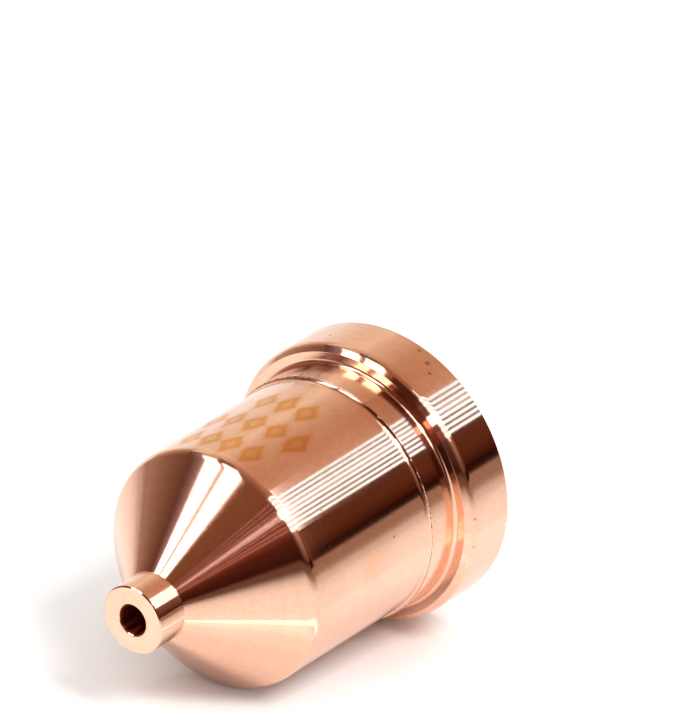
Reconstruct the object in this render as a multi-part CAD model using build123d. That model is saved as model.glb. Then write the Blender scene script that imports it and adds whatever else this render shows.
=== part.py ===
"""Plasma cutting nozzle, turned in one piece from copper bar.

The nozzle stands on the rear face of its flange with the nose up. The turning axis is Z, and the
origin is the centre of the rear face. All sizes are in millimetres.
"""
import os
from math import sqrt, tan, radians

from build123d import *

# Flange: the widest turn, clamped between the swirl ring and the retaining cap.
FLANGE_DIAMETER = 18.0
FLANGE_THICKNESS = 3.85
FLANGE_BEVEL_LENGTH = 0.45
FLANGE_BEVEL_DEPTH = 0.38
FLANGE_RIM_RADIUS = 0.7
FLANGE_REAR_CHAMFER = 0.15

# Band: a short spigot in front of the flange, a little larger than the body.
BAND_DIAMETER = 15.8
BAND_LENGTH = 2.13
BAND_FOOT_RADIUS = 0.25

# Step: a short slope from the band down to the body, with a hollow foot.
STEP_LENGTH = 0.17
STEP_FOOT_RADIUS = 0.4

# Body: the long parallel turn that carries the marking, with a rounded shoulder.
BODY_DIAMETER = 15.4
BODY_LENGTH = 10.75
SHOULDER_RADIUS = 0.9

# Nose: a cone that runs up to the small parallel tip.
NOSE_ANGLE = 45.0
TIP_DIAMETER = 4.36
TIP_LENGTH = 2.18
TIP_EDGE_CHAMFER = 0.08

# Small radius left by the turning tool at the foot of the tip, and the finer one of a crisp edge.
TOOL_RADIUS = 0.07
EDGE_RADIUS = 0.03

# Inside: the seat for the swirl ring, the chamber round the electrode, and the orifice.
SEAT_DIAMETER = 13.4
SEAT_DEPTH = 2.0
SEAT_MOUTH_CHAMFER = 0.3
CHAMBER_DIAMETER = 11.0
CHAMBER_MOUTH_CHAMFER = 0.25
CHAMBER_CORNER_RADIUS = 0.6
NOSE_WALL = 2.3
ORIFICE_DIAMETER = 1.8
ORIFICE_EXIT_CHAMFER = 0.15
ORIFICE_INLET_RADIUS = 0.4

# Radii and heights that follow from the sizes above.
flange_r = FLANGE_DIAMETER / 2
band_r = BAND_DIAMETER / 2
body_r = BODY_DIAMETER / 2
tip_r = TIP_DIAMETER / 2
seat_r = SEAT_DIAMETER / 2
chamber_r = CHAMBER_DIAMETER / 2
orifice_r = ORIFICE_DIAMETER / 2

nose_slope = tan(radians(NOSE_ANGLE))
rim_front = FLANGE_THICKNESS - FLANGE_BEVEL_LENGTH
face_r = flange_r - FLANGE_BEVEL_DEPTH
band_top = FLANGE_THICKNESS + BAND_LENGTH
step_top = band_top + STEP_LENGTH
shoulder_z = step_top + BODY_LENGTH
cone_top = shoulder_z + (body_r - tip_r) / nose_slope
total_length = cone_top + TIP_LENGTH

# The inner cone runs parallel to the outer one, one wall thickness inside it.
wall_along_axis = NOSE_WALL * sqrt(1 + nose_slope**2) / nose_slope


def inner_cone_z(radius):
    """Height of the inner cone where it has the given radius."""
    return shoulder_z + (body_r - radius) / nose_slope - wall_along_axis


chamber_top = inner_cone_z(chamber_r)
orifice_inlet = inner_cone_z(orifice_r)

# Outline of half the section, radius against height: up the outside, then back down the inside.
outside = [
    (flange_r, 0),
    (flange_r, rim_front),
    (face_r, FLANGE_THICKNESS),
    (band_r, FLANGE_THICKNESS),
    (band_r, band_top),
    (body_r, step_top),
    (body_r, shoulder_z),
    (tip_r, cone_top),
    (tip_r, total_length),
]
inside = [
    (orifice_r, total_length),
    (orifice_r, orifice_inlet),
    (chamber_r, chamber_top),
    (chamber_r, SEAT_DEPTH),
    (seat_r, SEAT_DEPTH),
    (seat_r, 0),
]


def corner(sketch, radius, height):
    """The corner of the section that lies nearest to a radius and a height."""
    return sketch.vertices().sort_by_distance((radius, height))[0]


with BuildPart() as nozzle:
    with BuildSketch(Plane.XZ) as section:
        with BuildLine():
            Polyline(*outside, *inside, close=True)
        make_face()

        # Outside: broken edges first, then the radii from the flange up to the tip.
        chamfer(corner(section, flange_r, 0), FLANGE_REAR_CHAMFER)
        chamfer(corner(section, tip_r, total_length), TIP_EDGE_CHAMFER)
        fillet(corner(section, flange_r, rim_front), FLANGE_RIM_RADIUS)
        fillet(corner(section, face_r, FLANGE_THICKNESS), EDGE_RADIUS)
        fillet(corner(section, band_r, FLANGE_THICKNESS), BAND_FOOT_RADIUS)
        fillet(corner(section, band_r, band_top), EDGE_RADIUS)
        fillet(corner(section, body_r, step_top), STEP_FOOT_RADIUS)
        fillet(corner(section, body_r, shoulder_z), SHOULDER_RADIUS)
        fillet(corner(section, tip_r, cone_top), TOOL_RADIUS)

        # Inside: mouths broken so that the ring and the electrode enter freely.
        chamfer(corner(section, seat_r, 0), SEAT_MOUTH_CHAMFER)
        chamfer(corner(section, chamber_r, SEAT_DEPTH), CHAMBER_MOUTH_CHAMFER)
        chamfer(corner(section, orifice_r, total_length), ORIFICE_EXIT_CHAMFER)
        fillet(corner(section, chamber_r, chamber_top), CHAMBER_CORNER_RADIUS)
        fillet(corner(section, orifice_r, orifice_inlet), ORIFICE_INLET_RADIUS)
    revolve(axis=Axis.Z)

os.makedirs("parts", exist_ok=True)
nozzle.part.label = "nozzle"
export_step(nozzle.part, "parts/nozzle.step")
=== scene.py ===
"""Looks of the plasma cutting nozzle: one turned copper part on a plain white board in a plain studio."""
import math
import bpy
import numpy as np
from mathutils import Matrix, Vector


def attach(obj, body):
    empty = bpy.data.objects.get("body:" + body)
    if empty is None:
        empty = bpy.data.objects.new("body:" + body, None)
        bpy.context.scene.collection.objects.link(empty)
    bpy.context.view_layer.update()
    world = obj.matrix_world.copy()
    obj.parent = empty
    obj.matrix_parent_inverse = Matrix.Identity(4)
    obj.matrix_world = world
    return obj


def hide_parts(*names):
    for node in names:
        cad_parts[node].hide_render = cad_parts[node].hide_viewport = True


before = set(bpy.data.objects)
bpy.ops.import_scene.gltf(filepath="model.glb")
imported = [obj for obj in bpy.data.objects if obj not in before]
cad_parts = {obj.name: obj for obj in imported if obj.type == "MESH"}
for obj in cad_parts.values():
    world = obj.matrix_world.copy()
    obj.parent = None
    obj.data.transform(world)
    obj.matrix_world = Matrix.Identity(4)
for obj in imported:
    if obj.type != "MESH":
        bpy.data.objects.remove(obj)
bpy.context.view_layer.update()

# Nozzle: turned from copper bar in one clamping, outside and inside, then parted off and laser marked.
# The outside was finished with a small round-nosed tool, so every outer corner has a fine radius.
# It is the only piece, and it stands on the rear face of its flange with the nose up.
MM = 0.001
FLANGE_R, FLANGE_FRONT_Z, FLANGE_REAR_CHAMFER = 9.0, 3.85, 0.15
BEVEL_LENGTH, BEVEL_DEPTH, RIM_RADIUS = 0.45, 0.38, 0.7
RIM_FRONT_Z = FLANGE_FRONT_Z - BEVEL_LENGTH
FACE_R = FLANGE_R - BEVEL_DEPTH
BAND_R, BAND_TOP_Z, BAND_FOOT_RADIUS = 7.9, 5.98, 0.25
BODY_R, STEP_TOP_Z, STEP_FOOT_RADIUS = 7.7, 6.15, 0.4
SHOULDER_Z, SHOULDER_RADIUS = 16.9, 0.9
TIP_R, TIP_LENGTH, TIP_EDGE_CHAMFER = 2.18, 2.18, 0.08
TOOL_RADIUS, EDGE_RADIUS = 0.07, 0.03
SEAT_R, SEAT_DEPTH, SEAT_MOUTH_CHAMFER = 6.7, 2.0, 0.3
CHAMBER_R, CHAMBER_MOUTH_CHAMFER, CHAMBER_CORNER_RADIUS = 5.5, 0.25, 0.6
ORIFICE_R, ORIFICE_EXIT_CHAMFER, ORIFICE_INLET_RADIUS = 0.9, 0.15, 0.4
NOSE_WALL = 2.3

# Both cones lean at 45 degrees: along each of them radius and height add up to one length.
CONE_ANGLE = math.radians(45)
OUTER_CONE = SHOULDER_Z + BODY_R
INNER_CONE = OUTER_CONE - NOSE_WALL / math.cos(CONE_ANGLE)
CONE_TOP_Z = OUTER_CONE - TIP_R
FRONT_Z = CONE_TOP_Z + TIP_LENGTH
CHAMBER_TOP_Z = INNER_CONE - CHAMBER_R
ORIFICE_INLET_Z = INNER_CONE - ORIFICE_R

# Corners of half the section as radius, height, radius of the rounding or minus the size of the chamfer.
section_corners = [
    (FLANGE_R, 0, -FLANGE_REAR_CHAMFER),
    (FLANGE_R, RIM_FRONT_Z, RIM_RADIUS),
    (FACE_R, FLANGE_FRONT_Z, EDGE_RADIUS),
    (BAND_R, FLANGE_FRONT_Z, BAND_FOOT_RADIUS),
    (BAND_R, BAND_TOP_Z, EDGE_RADIUS),
    (BODY_R, STEP_TOP_Z, STEP_FOOT_RADIUS),
    (BODY_R, SHOULDER_Z, SHOULDER_RADIUS),
    (TIP_R, CONE_TOP_Z, TOOL_RADIUS),
    (TIP_R, FRONT_Z, -TIP_EDGE_CHAMFER),
    (ORIFICE_R, FRONT_Z, -ORIFICE_EXIT_CHAMFER),
    (ORIFICE_R, ORIFICE_INLET_Z, ORIFICE_INLET_RADIUS),
    (CHAMBER_R, CHAMBER_TOP_Z, CHAMBER_CORNER_RADIUS),
    (CHAMBER_R, SEAT_DEPTH, -CHAMBER_MOUTH_CHAMFER),
    (SEAT_R, SEAT_DEPTH, 0),
    (SEAT_R, 0, -SEAT_MOUTH_CHAMFER),
]
GUARD = 0.04
ARC_STEP_DEGREES = 5
TURN_STEPS = 480


def section_outline(corners):
    """Closed outline of the section as an array of radius and height.

    A rounded corner is an arc that touches both runs: its centre lies on the bisector, its ends
    one tangent length from the corner. A chamfer is the same with a straight line. Beside each
    corner a guard point a fraction of a millimetre along the run keeps the run's shading straight.
    """
    points = []
    rows = np.array(corners, float)
    places, roundings = rows[:, :2], rows[:, 2]
    for i, (here, rounding) in enumerate(zip(places, roundings)):
        back, ahead = places[i - 1] - here, places[(i + 1) % len(places)] - here
        run_back, run_ahead = np.linalg.norm(back), np.linalg.norm(ahead)
        back, ahead = back / run_back, ahead / run_ahead
        half_angle = math.acos(np.clip(back @ ahead, -1, 1)) / 2
        tangent = rounding / math.tan(half_angle) if rounding > 0 else -rounding
        start, end = here + back * tangent, here + ahead * tangent
        points.append(start + back * min(GUARD, (run_back - tangent) / 3))
        if rounding > 0:
            bisector = (back + ahead) / np.linalg.norm(back + ahead)
            centre = here + bisector * rounding / math.sin(half_angle)
            sweep = math.pi - 2 * half_angle
            steps = max(4, round(math.degrees(sweep) / ARC_STEP_DEGREES))
            share = np.linspace(0, 1, steps + 1)[:, None]
            first = np.sin((1 - share) * sweep) * (start - centre)
            last = np.sin(share * sweep) * (end - centre)
            points.extend(centre + (first + last) / math.sin(sweep))
        elif rounding < 0:
            guard = (end - start) / np.linalg.norm(end - start) * tangent / 6
            points.extend([start, start + guard, end - guard, end])
        else:
            points.append(here)
        points.append(end + ahead * min(GUARD, (run_ahead - tangent) / 3))
    return np.array(points)


def turned_mesh(name, outline, steps):
    """Surface of revolution: each outline point (r, z) sweeps the circle (r cos a, r sin a, z)."""
    rows = len(outline)
    angle = np.arange(steps) * 2 * math.pi / steps
    r, z = outline[:, 0, None], outline[:, 1, None]
    spots = np.stack(np.broadcast_arrays(r * np.cos(angle), r * np.sin(angle), z), axis=-1) * MM
    row, column = np.meshgrid(np.arange(rows), np.arange(steps), indexing="ij")
    here, above = row * steps, (row + 1) % rows * steps
    beside = (column + 1) % steps
    corners = [here + column, here + beside, above + beside, above + column]
    quads = np.stack(corners, axis=-1).reshape(-1, 4)
    mesh = bpy.data.meshes.new(name)
    mesh.vertices.add(rows * steps)
    mesh.vertices.foreach_set("co", spots.reshape(-1))
    mesh.loops.add(quads.size)
    mesh.loops.foreach_set("vertex_index", quads.reshape(-1))
    mesh.polygons.add(len(quads))
    mesh.polygons.foreach_set("loop_start", np.arange(len(quads)) * 4)
    mesh.polygons.foreach_set("loop_total", np.full(len(quads), 4))
    mesh.update(calc_edges=True)
    mesh.validate()
    mesh.polygons.foreach_set("use_smooth", np.ones(len(quads), bool))
    return mesh


def put_in_scene(name, mesh):
    """An object at the origin for the mesh."""
    thing = bpy.data.objects.new(name, mesh)
    bpy.context.scene.collection.objects.link(thing)
    return thing


class Nodes:
    """Short way to write the arithmetic of one material's nodes."""

    def __init__(self, material):
        material.use_nodes = True
        self.tree = material.node_tree
        self.tree.nodes.clear()

    def add(self, kind, **settings):
        """A new node with its settings."""
        node = self.tree.nodes.new(kind)
        for name, value in settings.items():
            setattr(node, name, value)
        return node

    def feed(self, socket, value):
        """Links an output to the socket, or sets the socket's own value."""
        if isinstance(value, bpy.types.NodeSocket):
            self.tree.links.new(value, socket)
        else:
            socket.default_value = value

    def maths(self, operation, *values):
        """Result of one operation on numbers or outputs."""
        node = self.add("ShaderNodeMath", operation=operation)
        for socket, value in zip(node.inputs, values):
            self.feed(socket, value)
        return node.outputs[0]

    def scaled(self, value, factor):
        """The value times a factor."""
        return self.maths("MULTIPLY", value, factor)

    def between(self, value, low, high):
        """1 where the value lies between low and high, 0 elsewhere."""
        above = self.maths("GREATER_THAN", value, low)
        below = self.maths("LESS_THAN", value, high)
        return self.maths("MULTIPLY", above, below)

    def ramp(self, value, start, end):
        """0 at the start, 1 at the end, and held there on both sides."""
        node = self.add("ShaderNodeMapRange")
        self.feed(node.inputs["Value"], value)
        self.feed(node.inputs["From Min"], start)
        self.feed(node.inputs["From Max"], end)
        return node.outputs[0]

    def distance(self, place, point):
        """Distance of the place from a fixed point."""
        node = self.add("ShaderNodeVectorMath", operation="DISTANCE")
        self.feed(node.inputs[0], place)
        self.feed(node.inputs[1], point)
        return node.outputs["Value"]

    def noise(self, place, scale, detail):
        """Smooth noise about one half."""
        node = self.add("ShaderNodeTexNoise")
        self.feed(node.inputs["Vector"], place)
        self.feed(node.inputs["Scale"], scale)
        self.feed(node.inputs["Detail"], detail)
        return node.outputs["Fac"]

    def mix(self, share, first, second):
        """Colour between the first and the second."""
        node = self.add("ShaderNodeMix", data_type="RGBA")
        self.feed(node.inputs["Factor"], share)
        for name, colour in (("A", first), ("B", second)):
            socket = [s for s in node.inputs if s.name == name and s.type == "RGBA"][0]
            self.feed(socket, (*colour, 1) if isinstance(colour, tuple) else colour)
        return [s for s in node.outputs if s.type == "RGBA"][0]

    def clear_from_behind(self, shader):
        """The shader on the front of a surface, and nothing on its back."""
        node = self.add("ShaderNodeMixShader")
        self.feed(node.inputs[0], self.add("ShaderNodeNewGeometry").outputs["Backfacing"])
        self.feed(node.inputs[1], shader)
        self.feed(node.inputs[2], self.add("ShaderNodeBsdfTransparent").outputs[0])
        return node.outputs[0]

    def finish(self, shader):
        """The shader becomes the material's surface."""
        self.feed(self.add("ShaderNodeOutputMaterial").inputs["Surface"], shader)


turned_copper = bpy.data.materials.new("turned_copper")
copper = Nodes(turned_copper)
place = copper.add("ShaderNodeTexCoord").outputs["Object"]
axes = copper.add("ShaderNodeSeparateXYZ")
copper.feed(axes.inputs[0], place)
place_x, place_y, height = axes.outputs
square = copper.maths("ADD", copper.maths("POWER", place_x, 2), copper.maths("POWER", place_y, 2))
radius = copper.maths("SQRT", square)
azimuth = copper.maths("ARCTAN2", place_y, place_x)

# The feed marks of the tool are rings at an even pitch, on walls, cones and faces alike. They follow
# the run, which is height less radius and grows all the way up the outside.
FEED = 0.11
run = copper.maths("SUBTRACT", height, radius)
ring_wave = copper.maths("SINE", copper.scaled(run, 2 * math.pi / (FEED * MM)))


def ring_noise(across_scale, run_scale, detail):
    """Noise drawn out round the axis: coarse across the nozzle, fine along the run."""
    node = copper.add("ShaderNodeCombineXYZ")
    for socket, source, scale in zip(
        node.inputs, (place_x, place_y, run), (across_scale, across_scale, run_scale)
    ):
        copper.feed(socket, copper.scaled(source, scale))
    return copper.noise(node.outputs[0], scale=1, detail=detail)


streaks = ring_noise(180, 7000, detail=3)
coarse_streaks = ring_noise(90, 1500, detail=2)

# Handling has left a thin uneven tarnish, a fine grain, bright flecks, a smudge and a few small pits.
tarnish = copper.ramp(copper.noise(place, scale=170, detail=4), 0.45, 0.75)
grain = copper.ramp(copper.noise(place, scale=3200, detail=2), 0.4, 0.8)
flecks = copper.ramp(copper.noise(place, scale=2300, detail=1), 0.74, 0.80)


def spot(azimuth_degrees, radius_mm, height_mm, size_mm, softness=0.2):
    """Round spot at a place on the outside: 1 in the middle, 0 beyond its size."""
    angle = math.radians(azimuth_degrees)
    middle = Vector((radius_mm * math.cos(angle), radius_mm * math.sin(angle), height_mm)) * MM
    return copper.ramp(copper.distance(place, middle), size_mm * MM, size_mm * MM * softness)


BEVEL_R, BEVEL_Z = 8.85, 3.60
pits = 0
for pit in (
    (-66.3, FLANGE_R, 0.54, 0.17),
    (-72.8, FLANGE_R, 1.0, 0.22),
    (-76.8, FLANGE_R, 1.51, 0.17),
    (-57.5, BEVEL_R, BEVEL_Z, 0.13),
    (-62.5, BEVEL_R, BEVEL_Z, 0.12),
    (-136.1, FLANGE_R, 3.3, 0.14),
    (-148.6, FLANGE_R, 3.3, 0.12),
    (-128.3, BODY_R, 9.3, 0.13),
    (-100.0, BODY_R, 14.2, 0.12),
    (-31.0, FLANGE_R, 2.2, 0.15),
):
    pits = copper.maths("MAXIMUM", pits, spot(*pit))
smudge = spot(-135.6, BODY_R, 11.5, 1.3, softness=0)

# Laser marks: rows of plain lozenges with a pale eye on the body, burnt to a dull golden orange.
# Each row is given by its height and by the azimuths at which it starts and ends.
LOZENGE_PITCH, LOZENGE_WIDTH, LOZENGE_HEIGHT = math.radians(11.5), math.radians(11.4), 2.7 * MM
LOZENGE_ROWS = ((9.35, -63, -28.5), (12.25, -74, -16.5), (15.15, -66, -20))
RAGGEDNESS = 0.7
ragged = copper.scaled(copper.noise(place, scale=900, detail=4), RAGGEDNESS)
marks = 0
for row_height, first, last in LOZENGE_ROWS:
    first, last = math.radians(first), math.radians(last)
    step = copper.maths("DIVIDE", copper.maths("SUBTRACT", azimuth, first), LOZENGE_PITCH)
    cell = copper.maths("ABSOLUTE", copper.maths("SUBTRACT", copper.maths("FRACT", step), 0.5))
    sideways = copper.scaled(cell, 2 * LOZENGE_PITCH / LOZENGE_WIDTH)
    offset = copper.maths("ABSOLUTE", copper.maths("SUBTRACT", height, row_height * MM))
    upwards = copper.maths("DIVIDE", offset, LOZENGE_HEIGHT / 2)
    outwards = copper.maths("ADD", copper.maths("ADD", sideways, upwards), ragged)
    halo = copper.scaled(copper.ramp(outwards, 1.85, 1.2), 0.35)
    burnt = copper.scaled(copper.ramp(outwards, 1.4, 1.1), 0.75)
    eye = copper.scaled(copper.ramp(outwards, 0.85, 0.65), 0.4)
    lozenge = copper.maths("SUBTRACT", copper.maths("ADD", halo, burnt), eye)
    in_row = copper.between(azimuth, first, last)
    marks = copper.maths("MAXIMUM", marks, copper.maths("MULTIPLY", lozenge, in_row))
marks = copper.maths("MULTIPLY", marks, copper.between(radius, (BODY_R - 0.1) * MM, (BODY_R + 0.1) * MM))

# The chamber and the seat are bored and duller than the outside. The orifice's bore is painted near-black
# red: painted shade that deepens the dark of the narrow hole.
WIDE_BORE_R, SHADED_ORIFICE_R, BORE_CONE = 6.95, 1.0, 23
in_wide_bore = copper.maths("LESS_THAN", radius, WIDE_BORE_R * MM)
under_cone = copper.maths("LESS_THAN", copper.maths("ADD", radius, height), BORE_CONE * MM)
wide_bore = copper.maths("MULTIPLY", in_wide_bore, under_cone)
shaded_orifice = copper.maths("LESS_THAN", radius, SHADED_ORIFICE_R * MM)
bore = copper.maths("MAXIMUM", wide_bore, shaded_orifice)

# Colour: clean copper and its tarnish, then each share laid over it at its strength.
COPPER, TARNISHED = (0.955, 0.60, 0.45), (0.90, 0.50, 0.34)
GRAIN_BROWN, RING_BROWN, STREAK_BROWN = (0.78, 0.40, 0.27), (0.70, 0.36, 0.25), (0.60, 0.30, 0.20)
SMUDGE_ORANGE, BURNT_ORANGE, FLECK_PINK = (0.93, 0.48, 0.26), (0.80, 0.35, 0.11), (1.0, 0.78, 0.66)
# The near-black red for the orifice's bore is painted shade.
BORE_BROWN, ORIFICE_SHADE_RED, PIT_BROWN = (0.40, 0.19, 0.12), (0.15, 0.015, 0.007), (0.34, 0.11, 0.05)
colour = copper.mix(copper.scaled(tarnish, 0.5), COPPER, TARNISHED)
for share, strength, tint in (
    (grain, 0.28, GRAIN_BROWN),
    (copper.ramp(coarse_streaks, 0.3, 0.8), 0.12, RING_BROWN),
    (copper.ramp(streaks, 0.35, 0.75), 0.09, STREAK_BROWN),
    (smudge, 0.5, SMUDGE_ORANGE),
    (marks, 0.95, BURNT_ORANGE),
    (flecks, 0.6, FLECK_PINK),
    (wide_bore, 0.45, BORE_BROWN),
    # painted shade in the orifice's bore
    (shaded_orifice, 1, ORIFICE_SHADE_RED),
    (pits, 0.8, PIT_BROWN),
):
    colour = copper.mix(copper.scaled(share, strength), colour, tint)

# Roughness and relief: the rings blur what the copper mirrors along the run, and the pits are sunk.
SMOOTHEST, RELIEF = 0.073, 0.0011
roughness = copper.maths("ADD", copper.scaled(streaks, 0.055), SMOOTHEST)
for share, amount in ((marks, 0.08), (bore, 0.3), (smudge, 0.08), (pits, 0.08), (tarnish, 0.02)):
    roughness = copper.maths("ADD", roughness, copper.scaled(share, amount))
rings = copper.maths("ADD", copper.scaled(ring_wave, 0.25), copper.scaled(streaks, 1.6))
surface = copper.add("ShaderNodeBump")
copper.feed(surface.inputs["Height"], copper.maths("SUBTRACT", rings, copper.scaled(pits, 1.2)))
copper.feed(surface.inputs["Strength"], 1.0)
copper.feed(surface.inputs["Distance"], RELIEF * MM)

shine = copper.add("ShaderNodeBsdfPrincipled")
copper.feed(shine.inputs["Base Color"], colour)
copper.feed(shine.inputs["Metallic"], 1.0)
copper.feed(shine.inputs["Roughness"], roughness)
copper.feed(shine.inputs["Anisotropic"], 0.95)
copper.feed(shine.inputs["Anisotropic Rotation"], 0.25)
copper.feed(shine.inputs["Normal"], surface.outputs[0])
round_the_axis = copper.add("ShaderNodeTangent", direction_type="RADIAL", axis="Z")
copper.feed(shine.inputs["Tangent"], round_the_axis.outputs[0])
copper.finish(shine.outputs[0])

outline = section_outline(section_corners)
turned_nozzle = put_in_scene("turned_nozzle", turned_mesh("turned_nozzle", outline, TURN_STEPS))
turned_nozzle.data.materials.append(turned_copper)
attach(turned_nozzle, "root")
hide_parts("nozzle")

# Floor: a plain white board with a slight gloss, on which the nozzle lies on its rim and its shoulder.
# Its plane touches both roundings, so its lean follows from their centres and radii.
# It is seen from its upper side only, so that it doesn't hide the nozzle from behind.
FLOOR_AZIMUTH = math.radians(-50.5)
FLOOR_HALF, FLOOR_STEPS = 0.6, 8
bevel_slope = math.atan2(BEVEL_DEPTH, BEVEL_LENGTH)
rim_middle = Vector((FLANGE_R - RIM_RADIUS, RIM_FRONT_Z - RIM_RADIUS * math.tan(bevel_slope / 2)))
shoulder_drop = SHOULDER_RADIUS * math.tan(CONE_ANGLE / 2)
shoulder_middle = Vector((BODY_R - SHOULDER_RADIUS, SHOULDER_Z - shoulder_drop))
span = shoulder_middle - rim_middle
lean = math.atan2(-span.x, span.y) - math.asin((SHOULDER_RADIUS - RIM_RADIUS) / span.length)
depth = rim_middle.x * math.cos(lean) + rim_middle.y * math.sin(lean) + RIM_RADIUS
level = Vector((math.cos(FLOOR_AZIMUTH), math.sin(FLOOR_AZIMUTH), 0))
floor_up = level * math.cos(lean) - Vector((0, 0, 1)) * math.sin(lean)
floor_foot = -floor_up * depth * MM
floor_side = Vector((0, 0, 1)).cross(floor_up).normalized()
floor_ahead = floor_up.cross(floor_side)


def on_floor(side, ahead, lift=0):
    """Places on the board: its foot point plus lengths along its side, ahead and up directions."""
    return (
        np.array(floor_foot + floor_up * lift)
        + side[..., None] * np.array(floor_side)
        + ahead[..., None] * np.array(floor_ahead)
    )


def grid_quads(rows, columns):
    """Faces of a grid of points: each joins a point, the next row's, the one beside that and its own."""
    row, column = np.meshgrid(np.arange(rows), np.arange(columns), indexing="ij")
    corner = row * (columns + 1) + column
    corners = [corner, corner + columns + 1, corner + columns + 2, corner + 1]
    return np.stack(corners, axis=-1).reshape(-1, 4)


def grid_mesh(name, spots):
    """Mesh through a grid of points."""
    quads = grid_quads(spots.shape[0] - 1, spots.shape[1] - 1)
    mesh = bpy.data.meshes.new(name)
    mesh.from_pydata(spots.reshape(-1, 3).tolist(), [], quads.tolist())
    return mesh


# The copper mirrors the board less bright towards its front and beyond the nose: painted shade in the
# board's colour that only reflections show. Close to where the rim touches it the board takes a warm tint,
# painted warm light bounced from the copper, with its shade.
BOARD_WHITE, PAINTED_COPPER_BOUNCE = (0.9, 0.9, 0.9), (0.90, 0.62, 0.50)
MIRRORED_WHITE, MIRRORED_FRONT, MIRRORED_NOSE = (0.81, 0.79, 0.76), (0.32, 0.25, 0.20), (0.06, 0.03, 0.02)
FRONT_FADE, NOSE_FADE, RIM_GLOW = (0.016, 0.070), (0.055, 0.120), (0.010, 0.002)
white_board = bpy.data.materials.new("white_board")
board = Nodes(white_board)
path = board.add("ShaderNodeLightPath").outputs
on_board = board.add("ShaderNodeTexCoord").outputs["Object"]
board_axes = board.add("ShaderNodeSeparateXYZ")
board.feed(board_axes.inputs[0], on_board)
_, board_y, board_z = board_axes.outputs
# Painted reflection shade: the mirrored board darkens towards its front and beyond the nose.
towards_front = board.ramp(board.scaled(board_y, -1), *FRONT_FADE)
beyond_nose = board.ramp(board_z, *NOSE_FADE)
mirrored = board.mix(towards_front, MIRRORED_WHITE, MIRRORED_FRONT)
mirrored = board.mix(beyond_nose, mirrored, MIRRORED_NOSE)
# Painted warm bounce light and shade where the rim touches the board.
rim_touch = (Vector((0, 0, 1)) * rim_middle.y - level * rim_middle.x - floor_up * RIM_RADIUS) * MM
painted_bounce_near_rim = board.ramp(board.distance(on_board, rim_touch), *RIM_GLOW)
plain = board.mix(path["Is Glossy Ray"], BOARD_WHITE, mirrored)
matt = board.add("ShaderNodeBsdfPrincipled")
board.feed(matt.inputs["Base Color"], board.mix(board.scaled(painted_bounce_near_rim, 0.35), plain, PAINTED_COPPER_BOUNCE))
board.feed(matt.inputs["Roughness"], 0.07)
board.finish(board.clear_from_behind(matt.outputs[0]))

reach = np.linspace(-FLOOR_HALF, FLOOR_HALF, FLOOR_STEPS + 1)
floor = put_in_scene("floor", grid_mesh("floor", on_floor(*np.meshgrid(reach, reach, indexing="ij"))))
floor.data.materials.append(white_board)

# Studio: a white room, and panels and cards round the nozzle that only its polished copper mirrors.
# A panel is a piece of a sphere, given by the azimuth and elevation at which the nozzle sees it.
# One soft lamp at the front lights the board and gives the nozzle its shadow.
PANEL_DISTANCE = 0.45
PANEL_MIDDLE = np.array([0, 0, 0.012])
ROOM_LIGHT, ROOM_SEEN = 1.1, 1.05
world = bpy.data.worlds.new("white_room")
bpy.context.scene.world = world
room = Nodes(world)
path = room.add("ShaderNodeLightPath").outputs
seen = room.maths("MAXIMUM", path["Is Camera Ray"], path["Is Glossy Ray"])
seen = room.maths("MAXIMUM", seen, path["Is Transmission Ray"])
wall = room.add("ShaderNodeBackground")
room.feed(wall.inputs["Color"], (1, 1, 1, 1))
strength = room.maths("SUBTRACT", ROOM_LIGHT, room.scaled(seen, ROOM_LIGHT - ROOM_SEEN))
room.feed(wall.inputs["Strength"], strength)
room.feed(room.add("ShaderNodeOutputWorld").inputs["Surface"], wall.outputs[0])


def glowing_paint(name):
    """Material that glows in the tint of its mesh, with its nodes still open."""
    material = bpy.data.materials.new(name)
    material.cycles.emission_sampling = "NONE"
    paint = Nodes(material)
    glow = paint.add("ShaderNodeEmission")
    tint = paint.add("ShaderNodeAttribute", attribute_name="tint")
    paint.feed(glow.inputs["Color"], tint.outputs["Color"])
    return material, paint, glow.outputs[0]


panel_paint, paint, glow = glowing_paint("panel_paint")
paint.finish(glow)


def mirrored_only(name, spots, tint, material):
    """A surface through a grid of points, with a tint at each, that only mirrors show."""
    mesh = grid_mesh(name, spots)
    colours = np.ones((tint.size // 3, 4))
    colours[:, :3] = tint.reshape(-1, 3)
    layer = mesh.attributes.new("tint", "FLOAT_COLOR", "POINT")
    layer.data.foreach_set("color", colours.reshape(-1))
    mesh.materials.append(material)
    thing = put_in_scene(name, mesh)
    thing.visible_camera = thing.visible_diffuse = thing.visible_shadow = False


def even_tint(share, first, last):
    """Tints that go evenly from the first colour to the last, one row for each share."""
    first, last = np.array(first), np.array(last or first)
    return (first + (last - first) * share[:, None])[:, None, :]


def panel(
    name, azimuths, elevations, colour, last_colour=None, fade=(1, 1, 1), layer=0, distance=None, steps=16
):
    """Piece of a sphere: azimuth a and elevation e give D (cos e cos a, cos e sin a, sin e).

    Its tint goes evenly from the colour of the first azimuth to that of the last, and upwards it is
    multiplied by the fade to the power of the share of the height. A panel on a higher layer is
    nearer and hides the lower ones.
    """
    distance = distance or PANEL_DISTANCE * (1 - 0.02 * layer)
    share = np.linspace(0, 1, steps + 1)
    a = np.radians(azimuths[0] + (azimuths[1] - azimuths[0]) * share)
    e = np.radians(np.linspace(*elevations, steps + 1))
    a, e = np.meshgrid(a, e, indexing="ij")
    directions = np.stack([np.cos(e) * np.cos(a), np.cos(e) * np.sin(a), np.sin(e)], axis=-1)
    tint = even_tint(share, colour, last_colour) * np.array(fade) ** share[:, None]
    mirrored_only(name, directions * distance + PANEL_MIDDLE, tint, panel_paint)


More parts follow.
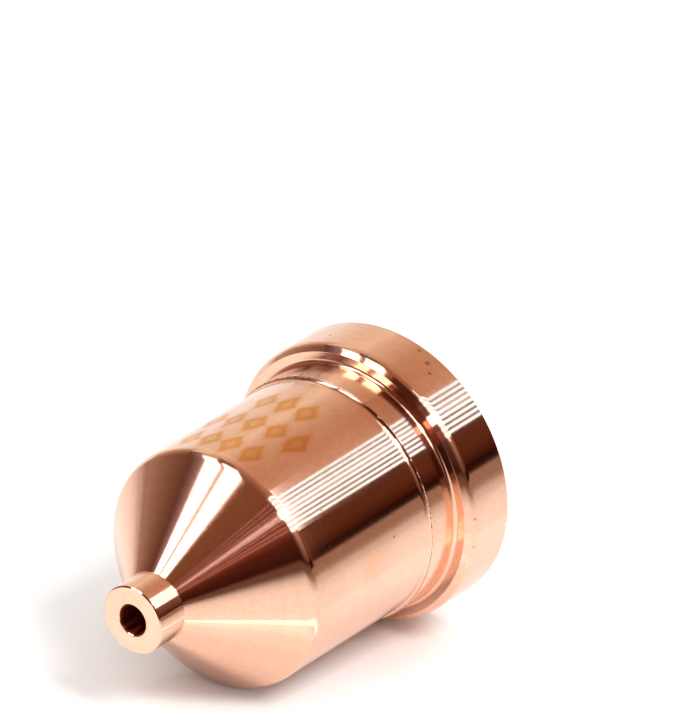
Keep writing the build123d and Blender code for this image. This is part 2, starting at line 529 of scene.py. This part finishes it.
# The low walls, from right to left: the body, the band and the flange mirror them.
WHITE, EDGE_BROWN, BLACK = (1.03, 1.03, 1.03), (0.35, 0.24, 0.18), (0.012, 0.003, 0.002)
LOW = (-88, -10)
panel("edge_card", (-155.5, -138.2), LOW, EDGE_BROWN)
panel("edge_gap", (-138.2, -131), LOW, (0.03, 0.008, 0.004), BLACK)
panel("dark_side", (-131, -120), LOW, (0.05, 0.008, 0.003), (0.11, 0.035, 0.015))
panel("dark_wall", (-120, -72), LOW, (0.11, 0.035, 0.015), (0.12, 0.05, 0.035))
panel("brown_wall", (-72, -52), LOW, (0.67, 0.46, 0.35), (0.585, 0.35, 0.23))
panel("brown_wall_end", (-52, -36), LOW, (0.585, 0.35, 0.23), (0.61, 0.39, 0.26))
panel("light_wall", (-36, -10), LOW, (0.61, 0.39, 0.26), (0.82, 0.68, 0.54))
panel("pale_wall", (-10, 12), LOW, (0.94, 0.83, 0.67), (0.86, 0.77, 0.63))
panel("pale_wall_end", (12, 34), LOW, (0.88, 0.79, 0.65), (1.0, 0.99, 0.96))

# The high walls and the ceiling, from right to left: the cone and the flange's front face mirror them.
HIGH = (-10, 62)
panel("upper_edge", (-150, -132), HIGH, (0.37, 0.24, 0.185), (0.11, 0.045, 0.027))
panel("upper_dark", (-132, -112), HIGH, (0.035, 0.007, 0.004), (0.10, 0.018, 0.007))
panel("upper_red", (-112, -98), HIGH, (0.11, 0.02, 0.009), (0.27, 0.09, 0.055))
panel("upper_warm", (-98, -71), HIGH, (0.15, 0.035, 0.02), (0.10, 0.033, 0.018))
panel("upper_brown", (-71, -48), HIGH, (0.19, 0.075, 0.036), (0.22, 0.10, 0.053))
panel("upper_brown_end", (-48, -36), HIGH, (0.22, 0.10, 0.053), (0.31, 0.17, 0.09))
panel("upper_gap", (-36, -7), HIGH, (0.20, 0.10, 0.08), (0.25, 0.15, 0.14))
panel("upper_left", (-7, 4), HIGH, (0.36, 0.26, 0.29), (0.13, 0.06, 0.045))
panel("upper_left_brown", (4, 16), HIGH, (0.13, 0.06, 0.045), (0.18, 0.09, 0.055))
panel("upper_left_fade", (16, 36), HIGH, (0.17, 0.085, 0.048), (0.36, 0.24, 0.15))
panel("upper_left_end", (36, 60), HIGH, (0.36, 0.24, 0.15), WHITE)
panel("ceiling", (-180, 180), (62, 90), (0.10, 0.04, 0.028), layer=0.2, steps=48)

# A window with upright bars, in front of the dark walls: the eight bright strips are the gaps.
STRIP_COUNT, STRIP_PITCH, STRIP_WIDTH, FAINT_WIDTH, FIRST_STRIP = 8, 4.2, 2.0, 1.2, -102.9
LOW_GLASS, GLASS = (-88, -31), (-31, 25)
for i in range(STRIP_COUNT):
    middle = FIRST_STRIP + i * STRIP_PITCH
    edges = (middle - STRIP_WIDTH / 2, middle + STRIP_WIDTH / 2)
    faint_edges = (middle - FAINT_WIDTH / 2, middle + FAINT_WIDTH / 2)
    panel(f"strip_{i}", edges, LOW_GLASS, (1.75, 2.3, 2.8), layer=1)
    panel(f"window_strip_{i}", edges, GLASS, (2.6, 2.8, 3.0), layer=1)
    panel(f"faint_strip_{i}", faint_edges, (38, 60), (0.62, 0.30, 0.24), layer=3)
panel("strip_glow", (-104.5, -72), LOW_GLASS, (0.20, 0.17, 0.16), layer=0.3)
panel("strip_glow_core", (-91.5, -83), LOW_GLASS, (0.45, 0.50, 0.55), layer=0.6)
panel("window", (-105.2, -75), GLASS, (1.15, 1.2, 1.25), layer=0.8)
panel("window_core", (-92.0, -85.2), (-28, 37), (7, 7, 7), layer=2)
panel("window_line", (-91.7, -85.5), (38, 50), (0.92, 0.72, 0.76), layer=2)

# Shades between the low and the high walls, which the rounded shoulder and the cone's sides mirror.
SIDE = (-131, -105.2)
panel("side_rise", SIDE, (-38, -12), (0.05, 0.010, 0.005), (0.13, 0.05, 0.03), (3, 4, 5), layer=1)
panel("side_glow", SIDE, (-12, 12), (0.13, 0.045, 0.027), (0.52, 0.33, 0.27), layer=1)
panel("side_fall", SIDE, (12, 44), (0.11, 0.035, 0.02), (0.45, 0.27, 0.21), (0.15, 0.1, 0.08), layer=1)
panel("brown_fade", (-75, -36), (-28, 44), (0.60, 0.38, 0.26), fade=(0.36, 0.25, 0.18), layer=0.5)
panel("lamp_foot", (-21, -7), (-14, 12), (0.66, 0.50, 0.37), layer=0.5)
panel(
    "pale_fade", (4, 36), (-34, 43), (0.80, 0.68, 0.55), (1.25, 1.25, 1.20), (0.10, 0.045, 0.03), layer=0.5
)

# Two soft lamps side by side, the broad bright stripes on the cone.
panel("soft_lamp_a", (-39.6, -24.8), (16, 52), (5, 5, 5), layer=1)
panel("soft_lamp_b", (-19.8, -8.0), (9, 52), (5, 5, 5), layer=1)

# Cards close to the nozzle, at elevations that the parallel tip or the short band alone mirrors. The
# band's cards are dark sheets that stand for the shade of the flange's rim and of the board near it:
# painted shade in the band's reflection, fading upwards.
NEAR_TIP, NEAR_BAND = 0.023, 0.022
TIP_RANGE = (-20.6, -14.2)
panel("nose_window", (-105.7, -70.5), TIP_RANGE, (2.3, 2.4, 2.5), distance=NEAR_TIP)
panel("nose_side", (-134, -107), TIP_RANGE, (0.13, 0.035, 0.015), (0.30, 0.19, 0.15), distance=NEAR_TIP)
for name, azimuths, elevations, colour, last_colour, fade in (
    ("band_shade_brown", (-77, -54), (-43.6, -40.5), (0.25, 0.14, 0.08), (0.27, 0.15, 0.09), (2.4, 2.6, 2.8)),
    ("band_shade_left", (-19, -10), (-45.8, -43.9), (0.45, 0.35, 0.26), (0.13, 0.07, 0.04), (2.5, 2.8, 3.2)),
    ("band_shade_dark", (-10, 5), (-46.8, -44.9), (0.30, 0.16, 0.10), (0.26, 0.12, 0.08), (1.3, 1.4, 1.5)),
    ("band_shade_end", (5, 18), (-48, -46.3), (0.26, 0.12, 0.08), (0.55, 0.42, 0.32), (1.3, 1.4, 1.5)),
):
    panel(name, azimuths, elevations, colour, last_colour, fade, distance=NEAR_BAND)

# Level cards over the flange, seen from below only: its front face mirrors them by way of the band.
CARD_HEIGHT, INNER_CARD, OUTER_CARD = 16, (16.6, 21.6), (21.6, 31)
CARD_STEPS = 8
card_paint, paint, glow = glowing_paint("card_paint")
paint.finish(paint.clear_from_behind(glow))


def level_card(name, azimuths, colour, last_colour=None, radii=INNER_CARD):
    """Piece of a level ring: azimuth a and radius r give (r cos a, r sin a, height).

    Its tint goes evenly from the colour of the first azimuth to that of the last.
    """
    share = np.linspace(0, 1, CARD_STEPS + 1)
    a = np.radians(azimuths[0] + (azimuths[1] - azimuths[0]) * share)[:, None]
    r = np.array(radii)
    spots = np.stack(np.broadcast_arrays(r * np.cos(a), r * np.sin(a), CARD_HEIGHT), axis=-1) * MM
    tint = np.repeat(even_tint(share, colour, last_colour), 2, axis=1)
    mirrored_only(name, spots, tint, card_paint)


level_card("card_dark", (-128, -107), (0.012, 0.001, 0.001))
level_card("card_red", (-107, -97), (0.07, 0.005, 0.004), (0.12, 0.03, 0.03))
level_card("card_window_side", (-97, -93), (0.37, 0.14, 0.08))
level_card("card_window", (-93, -87), (0.75, 0.26, 0.20))
level_card("card_brown", (-87, -56), (0.08, 0.006, 0.003), (0.05, 0.002, 0.001))
level_card("card_lamp_edge", (-56, -50), (0.12, 0.03, 0.01))
level_card("card_lamp_a", (-50, -36.5), (4.5, 4.5, 4.5))
level_card("card_lamp_gap", (-36.5, -30), (0.30, 0.28, 0.26))
level_card("card_lamp_b", (-30, -19.5), (4.5, 4.5, 4.5))
level_card("card_left", (-19.5, -5), (1.3, 1.6, 1.7), (0.20, 0.13, 0.11))
level_card("card_left_end", (-5, 10), (0.20, 0.14, 0.12), (0.42, 0.38, 0.42))
level_card("bevel_dark", (-78, -53), (0.045, 0.010, 0.005), radii=OUTER_CARD)

# A lit ribbon just over the board beside the nose, seen from above only: the cone mirrors it as a
# pale line. Each place is two lengths along the board's side and ahead directions, and a width.
RIBBON_LIFT = 0.3
RIBBON = (
    (-7.8, 26.8, 1.2),
    (-10.9, 23.7, 1.5),
    (-13.7, 20.8, 1.6),
    (-15.7, 17.2, 2.4),
    (-15.6, 14.0, 2.8),
    (-13.8, 12.2, 2.6),
    (-11.2, 11.3, 2.2),
)


def lit_ribbon(name, ribbon, colour):
    """Flat ribbon over the board: at each place it reaches half its width to both sides of its run."""
    places, widths = np.array(ribbon)[:, :2], np.array(ribbon)[:, 2:]
    run = np.gradient(places, axis=0)
    run = run / np.linalg.norm(run, axis=1)[:, None]
    half = np.stack([-run[:, 1], run[:, 0]], axis=-1) * widths / 2
    edges = np.stack([places - half, places + half], axis=1) * MM
    spots = on_floor(edges[..., 0], edges[..., 1], RIBBON_LIFT * MM)
    mirrored_only(name, spots, np.tile(colour, (len(places) * 2, 1)), card_paint)


lit_ribbon("lit_ribbon", RIBBON, (1.6, 2.1, 1.9))

KEY_PLACE, KEY_AIM = Vector((0.012, -0.34, 0.02)), Vector((0, 0, 0.012))
KEY_SIZE, KEY_WATTS = 0.12, 0.85
key = bpy.data.lights.new("key", "AREA")
key.shape = "SQUARE"
key.size = KEY_SIZE
key.energy = KEY_WATTS
key_lamp = bpy.data.objects.new("key", key)
bpy.context.scene.collection.objects.link(key_lamp)
key_lamp.location = KEY_PLACE
key_lamp.rotation_euler = (KEY_AIM - KEY_PLACE).to_track_quat("-Z", "Y").to_euler()
key_lamp.visible_glossy = False

# Camera: the photograph's viewing angle and framing, from the front and above.
# It is rolled, so that the upright nozzle lies in the picture with its nose to the lower left.
CAMERA_AIM = Vector((4.483, -14.496, 12)) * MM
CAMERA_DISTANCE = 0.8068
CAMERA_AZIMUTH, CAMERA_ELEVATION, CAMERA_ROLL = (math.radians(v) for v in (-98.03, 43.68, -121.35))
FOCAL_PIXELS, PHOTO_HEIGHT = 13765, 723
back = Vector(
    (
        math.cos(CAMERA_ELEVATION) * math.cos(CAMERA_AZIMUTH),
        math.cos(CAMERA_ELEVATION) * math.sin(CAMERA_AZIMUTH),
        math.sin(CAMERA_ELEVATION),
    )
)
level_right = Vector((-math.sin(CAMERA_AZIMUTH), math.cos(CAMERA_AZIMUTH), 0))
right = level_right * math.cos(CAMERA_ROLL) + back.cross(level_right) * math.sin(CAMERA_ROLL)
camera_data = bpy.data.cameras.new("camera")
camera_data.lens = FOCAL_PIXELS / PHOTO_HEIGHT * camera_data.sensor_width
camera_data.clip_start, camera_data.clip_end = 0.05, 10
camera = bpy.data.objects.new("camera", camera_data)
bpy.context.scene.collection.objects.link(camera)
turn = Matrix((right, back.cross(right), back)).transposed()
camera.matrix_world = Matrix.Translation(CAMERA_AIM + back * CAMERA_DISTANCE) @ turn.to_4x4()
bpy.context.scene.camera = camera

bpy.context.scene.view_settings.view_transform = "Standard"
